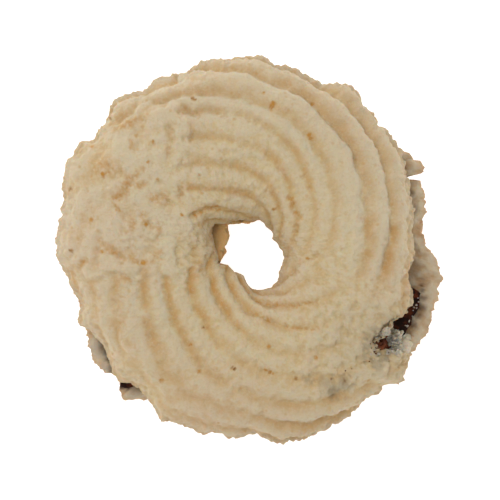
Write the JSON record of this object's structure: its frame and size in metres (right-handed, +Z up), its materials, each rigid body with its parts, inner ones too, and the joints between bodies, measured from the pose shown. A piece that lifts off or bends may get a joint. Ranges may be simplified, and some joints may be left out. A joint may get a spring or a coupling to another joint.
{
  "type": "filled piped butter cookie",
  "caption": "Round butter cookie of piped, swirl-ridged rings pressed together over a dark filling, with a hole through the middle.",
  "frame": {"origin": "under the middle of the cookie, on the surface that it lies on", "axes": "+Z up through the hole, from the lower ring to the upper ring; +Y towards the top of the picture"},
  "size_m": [0.0621, 0.062, 0.0174],
  "materials": {
    "baked_dough": "matt, fine-grained, pale baked butter dough",
    "baked_dough_lower": "matt baked butter dough, browner on its flat base",
    "dark_filling": "dark, slightly glossy and grainy sweet filling"
  },
  "bodies": {
    "root": {"upper_ring": "baked_dough", "filling": "dark_filling", "lower_ring": "baked_dough_lower"}
  },
  "joints": []
}
